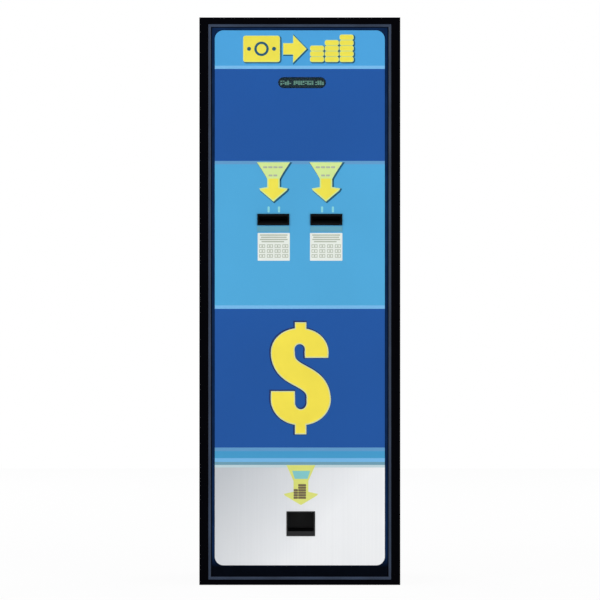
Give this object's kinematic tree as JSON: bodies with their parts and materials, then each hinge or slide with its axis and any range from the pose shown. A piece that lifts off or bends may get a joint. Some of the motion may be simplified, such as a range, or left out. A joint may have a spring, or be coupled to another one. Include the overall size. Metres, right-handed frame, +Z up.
{
  "type": "coin changer dispenser",
  "caption": "Floor-standing change machine: takes banknotes at slots on a printed steel front and pays out coins into a cup, with a locking rear door.",
  "frame": {"origin": "centre of the bounding box's base, on the floor", "axes": "+Z up, front faces -Y, +X to the right of someone who faces the machine"},
  "size_m": [0.508, 0.46, 1.435],
  "materials": {
    "black_steel": "satin powder coat",
    "stainless": "brushed vertically",
    "printed_film": "printed in blue bands, satin",
    "zinc_steel": "zinc plated",
    "smoked_window": "smoked clear plastic",
    "circuit_board": "solder mask",
    "display_glass": "dark display",
    "black_plastic": "moulded, fine grain",
    "lip_metal": "satin",
    "grey_plastic": "moulded, fine grain",
    "roller_rubber": "matt",
    "hopper_plastic": "moulded",
    "disc_plastic": "moulded",
    "component_black": "moulded",
    "button_red": "moulded",
    "button_white": "moulded",
    "seal_rubber": "matt foam",
    "chromed": "polished",
    "brass_lock": "satin",
    "motor_steel": "satin"
  },
  "bodies": {
    "cabinet": {"left_side": "black_steel", "right_side": "black_steel", "roof": "black_steel", "floor_plate": "black_steel", "front_frame": "black_steel", "front_plate": "black_steel", "face_panel": "stainless", "graphic_film": "printed_film", "panel_fixings": "zinc_steel", "display_window": "smoked_window", "display_board": "circuit_board", "display_module": "display_glass", "bill_mask_left": "black_plastic", "bill_mask_right": "black_plastic", "bill_lip_left": "lip_metal", "bill_lip_right": "lip_metal", "validator_base_left": "grey_plastic", "validator_base_right": "grey_plastic", "validator_head_left": "grey_plastic", "validator_head_right": "grey_plastic", "validator_shelf": "zinc_steel", "cash_box_shelf": "zinc_steel", "hopper_shelf": "zinc_steel", "shelf_angles": "zinc_steel", "hopper_base_left": "hopper_plastic", "hopper_base_right": "hopper_plastic", "hopper_motor_left": "motor_steel", "hopper_motor_right": "motor_steel", "hopper_bowl_left": "hopper_plastic", "hopper_bowl_right": "hopper_plastic", "coin_chute": "stainless", "coin_cup": "black_plastic", "control_board": "circuit_board", "board_parts": "component_black", "board_standoffs": "zinc_steel", "power_supply": "zinc_steel", "power_inlet": "black_plastic", "rear_frame": "black_steel", "hinge_barrels_cabinet": "black_steel", "hinge_pins": "zinc_steel"},
    "roller_left": {"drive_roller_left": "roller_rubber"},
    "cash_box_left": {"cash_box_left": "zinc_steel"},
    "hopper_disc_left": {"hopper_disc_left": "disc_plastic"},
    "roller_right": {"drive_roller_right": "roller_rubber"},
    "cash_box_right": {"cash_box_right": "zinc_steel"},
    "hopper_disc_right": {"hopper_disc_right": "disc_plastic"},
    "test_button": {"test_button": "button_white"},
    "reset_button": {"reset_button": "button_red"},
    "power_switch": {"power_switch": "component_black"},
    "door": {"rear_door": "black_steel", "door_seal": "seal_rubber", "door_ribs": "black_steel", "hinge_barrels_door": "black_steel", "handle_collar": "chromed", "rod_guides": "zinc_steel"},
    "handle": {"tee_handle": "chromed", "latch_cam": "zinc_steel"},
    "lock_plug": {"lock_plug": "brass_lock"},
    "upper_rod": {"latch_rod_upper": "zinc_steel"},
    "lower_rod": {"latch_rod_lower": "zinc_steel"}
  },
  "joints": [
    {"name": "roller_left_turn", "type": "hinge", "parent": "cabinet", "child": "roller_left", "pos_m": [-0.067, -0.1457, 0.9098], "axis": [1, 0, 0], "continuous": true},
    {"name": "cash_box_left_lift", "type": "slide", "parent": "cabinet", "child": "cash_box_left", "axis": [0, 0, 1], "range_m": [0, 0.06]},
    {"name": "hopper_disc_left_turn", "type": "hinge", "parent": "cabinet", "child": "hopper_disc_left", "pos_m": [-0.11, -0.064, 0.385], "axis": [0, 0, 1], "continuous": true},
    {"name": "roller_right_turn", "type": "hinge", "parent": "cabinet", "child": "roller_right", "pos_m": [0.067, -0.1457, 0.9098], "axis": [1, 0, 0], "continuous": true},
    {"name": "cash_box_right_lift", "type": "slide", "parent": "cabinet", "child": "cash_box_right", "axis": [0, 0, 1], "range_m": [0, 0.06]},
    {"name": "hopper_disc_right_turn", "type": "hinge", "parent": "cabinet", "child": "hopper_disc_right", "pos_m": [0.11, -0.064, 0.385], "axis": [0, 0, 1], "continuous": true},
    {"name": "test_button_press", "type": "slide", "parent": "cabinet", "child": "test_button", "axis": [1, 0, 0], "range_m": [0, 0.0015], "stiffness_N_per_m": 400, "springref_m": -0.0005},
    {"name": "reset_button_press", "type": "slide", "parent": "cabinet", "child": "reset_button", "axis": [1, 0, 0], "range_m": [0, 0.0015], "stiffness_N_per_m": 400, "springref_m": -0.0005},
    {"name": "power_switch_rock", "type": "hinge", "parent": "cabinet", "child": "power_switch", "pos_m": [-0.1275, 0.173, 0.046], "axis": [1, 0, 0], "range_deg": [-8, 8]},
    {"name": "door_swing", "type": "hinge", "parent": "cabinet", "child": "door", "pos_m": [-0.242, 0.185, 0.74], "axis": [0, 0, 1], "range_deg": [0, 110]},
    {"name": "handle_turn", "type": "hinge", "parent": "door", "child": "handle", "pos_m": [0.175, 0.163, 0.74], "axis": [0, -1, 0], "range_deg": [0, 90]},
    {"name": "key_turn", "type": "hinge", "parent": "handle", "child": "lock_plug", "pos_m": [0.175, 0.2, 0.74], "axis": [0, -1, 0], "range_deg": [0, 90]},
    {"name": "upper_rod_slide", "type": "slide", "parent": "door", "child": "upper_rod", "axis": [0, 0, 1], "range_m": [0, 0.03131]},
    {"name": "lower_rod_slide", "type": "slide", "parent": "door", "child": "lower_rod", "axis": [0, 0, -1], "range_m": [0, 0.03131]}
  ],
  "couplings": [
    {"joint": "upper_rod_slide", "follows": "handle_turn", "m_per_rad": 0.019807},
    {"joint": "lower_rod_slide", "follows": "handle_turn", "m_per_rad": 0.019807}
  ]
}
